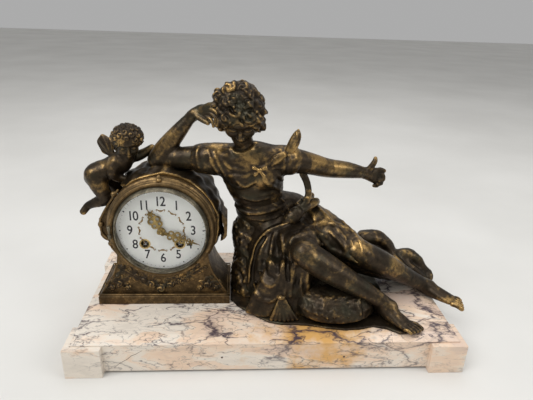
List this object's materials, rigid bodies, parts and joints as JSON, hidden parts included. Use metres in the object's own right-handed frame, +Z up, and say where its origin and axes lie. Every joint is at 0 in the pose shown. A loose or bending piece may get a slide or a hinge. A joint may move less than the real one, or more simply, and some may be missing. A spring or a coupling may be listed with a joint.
{
  "type": "figural mantel clock",
  "caption": "Figural mantel clock: a reclining draped woman leans on a drum clock with a winged child at its side, on a veined marble base.",
  "frame": {"origin": "middle of the marble base's underside, on the table", "axes": "+X to the right as the dial is read, +Y away from the reader, +Z up"},
  "size_m": [0.4676, 0.2134, 0.3073],
  "materials": {
    "marble": "polished",
    "spelter": "satin patina",
    "gilt_case": "worn gilding",
    "brass": "lacquered",
    "enamel": "gloss",
    "glass": "clear",
    "steel": "oiled",
    "bell_metal": "polished"
  },
  "bodies": {
    "clock_and_group": {"marble_top_slab": "marble", "marble_frieze": "marble", "corner_blocks": "marble", "woman_torso": "spelter", "right_arm": "spelter", "left_arm": "spelter", "right_leg": "spelter", "left_leg": "spelter", "woman_head": "spelter", "woman_hair": "spelter", "skirt": "spelter", "sash_and_bow": "spelter", "front_tassel": "spelter", "seat_rock": "spelter", "back_drapery": "spelter", "carved_stone": "spelter", "ground_sheet": "spelter", "cherub_body": "spelter", "cherub_head": "spelter", "cherub_limbs": "spelter", "cherub_wings": "spelter", "drum_cloth": "spelter", "clock_case": "gilt_case", "case_plinth": "gilt_case", "side_scrolls": "gilt_case", "rose_swag": "gilt_case", "bezel_hinge": "brass", "dial_plate": "brass", "winding_hole_collets": "brass", "front_plate": "brass", "back_plate": "brass", "pillars_and_dial_feet": "brass", "suspension_cock": "brass", "bell_stand": "brass", "back_ring": "brass", "enamel_dial": "enamel", "studs_and_nuts": "steel", "movement_straps": "steel", "bell": "bell_metal"},
    "bezel": {"bezel_ring": "brass", "convex_glass": "glass"},
    "rear_door": {"back_door": "brass"},
    "centre_train": {"centre_wheel": "brass", "cannon_pinion": "brass", "minute_hand": "brass", "hand_nut": "brass"},
    "hour_train": {"hour_wheel": "brass", "hour_hand": "brass"},
    "minute_pair": {"minute_wheel": "brass"},
    "going_spring": {"going_barrel": "brass"},
    "going_arbor": {"going_winding_arbor": "steel"},
    "third_train": {"third_wheel": "brass"},
    "escape_train": {"escape_wheel": "brass"},
    "anchor": {"pallet_anchor": "steel"},
    "pendulum": {"pendulum_rod": "steel", "pendulum_bob": "brass"},
    "striking_spring": {"striking_barrel": "brass"},
    "striking_arbor": {"striking_winding_arbor": "steel"},
    "pin_train": {"pin_wheel": "brass"},
    "hammer": {"bell_hammer": "steel"}
  },
  "joints": [
    {"name": "bezel_swing", "type": "hinge", "parent": "clock_and_group", "child": "bezel", "pos_m": [-0.1801, -0.0269, 0.1356], "axis": [0, 0, -1], "range_deg": [0, 110]},
    {"name": "back_door_swing", "type": "hinge", "parent": "clock_and_group", "child": "rear_door", "pos_m": [-0.0648, 0.0447, 0.1356], "axis": [0, 0, -1], "range_deg": [0, 110]},
    {"name": "minute_hand_turn", "type": "hinge", "parent": "clock_and_group", "child": "centre_train", "pos_m": [-0.1225, -0.022, 0.1356], "axis": [0, 1, 0], "continuous": true},
    {"name": "hour_hand_turn", "type": "hinge", "parent": "clock_and_group", "child": "hour_train", "pos_m": [-0.1225, -0.022, 0.1356], "axis": [0, 1, 0], "continuous": true},
    {"name": "minute_wheel_turn", "type": "hinge", "parent": "clock_and_group", "child": "minute_pair", "pos_m": [-0.13098, -0.016, 0.14408], "axis": [0, 1, 0], "continuous": true},
    {"name": "going_barrel_turn", "type": "hinge", "parent": "clock_and_group", "child": "going_spring", "pos_m": [-0.1025, -0.002, 0.1186], "axis": [0, 1, 0], "continuous": true},
    {"name": "third_wheel_turn", "type": "hinge", "parent": "clock_and_group", "child": "third_train", "pos_m": [-0.11276, -0.002, 0.14943], "axis": [0, 1, 0], "continuous": true},
    {"name": "escape_wheel_turn", "type": "hinge", "parent": "clock_and_group", "child": "escape_train", "pos_m": [-0.1225, -0.002, 0.1596], "axis": [0, 1, 0], "continuous": true},
    {"name": "pendulum_swing", "type": "hinge", "parent": "clock_and_group", "child": "pendulum", "pos_m": [-0.1225, 0.0182, 0.172], "axis": [0, 1, 0], "range_deg": [-3, 3]},
    {"name": "anchor_rock", "type": "hinge", "parent": "clock_and_group", "child": "anchor", "pos_m": [-0.1225, 0, 0.172], "axis": [0, 1, 0], "range_deg": [-3, 3]},
    {"name": "going_arbor_wind", "type": "hinge", "parent": "clock_and_group", "child": "going_arbor", "pos_m": [-0.1025, -0.014, 0.1186], "axis": [0, 1, 0], "range_deg": [0, 1800]},
    {"name": "striking_arbor_wind", "type": "hinge", "parent": "clock_and_group", "child": "striking_arbor", "pos_m": [-0.1425, -0.014, 0.1186], "axis": [0, -1, 0], "range_deg": [0, 1800]},
    {"name": "striking_barrel_turn", "type": "hinge", "parent": "clock_and_group", "child": "striking_spring", "pos_m": [-0.1425, -0.002, 0.1186], "axis": [0, 1, 0], "continuous": true},
    {"name": "pin_wheel_turn", "type": "hinge", "parent": "clock_and_group", "child": "pin_train", "pos_m": [-0.14446, -0.002, 0.14101], "axis": [0, 1, 0], "continuous": true},
    {"name": "hammer_swing", "type": "hinge", "parent": "clock_and_group", "child": "hammer", "pos_m": [-0.1555, 0.018, 0.1596], "axis": [0, -1, 0], "range_deg": [0, 12]}
  ],
  "couplings": [
    {"joint": "hour_hand_turn", "follows": "minute_hand_turn", "ratio": 0.083333},
    {"joint": "minute_wheel_turn", "follows": "minute_hand_turn", "ratio": -0.33333},
    {"joint": "going_barrel_turn", "follows": "minute_hand_turn", "ratio": -0.4},
    {"joint": "third_wheel_turn", "follows": "minute_hand_turn", "ratio": -8},
    {"joint": "escape_wheel_turn", "follows": "minute_hand_turn", "ratio": 56},
    {"joint": "anchor_rock", "follows": "pendulum_swing", "ratio": 1},
    {"joint": "pin_wheel_turn", "follows": "striking_barrel_turn", "ratio": -5}
  ]
}
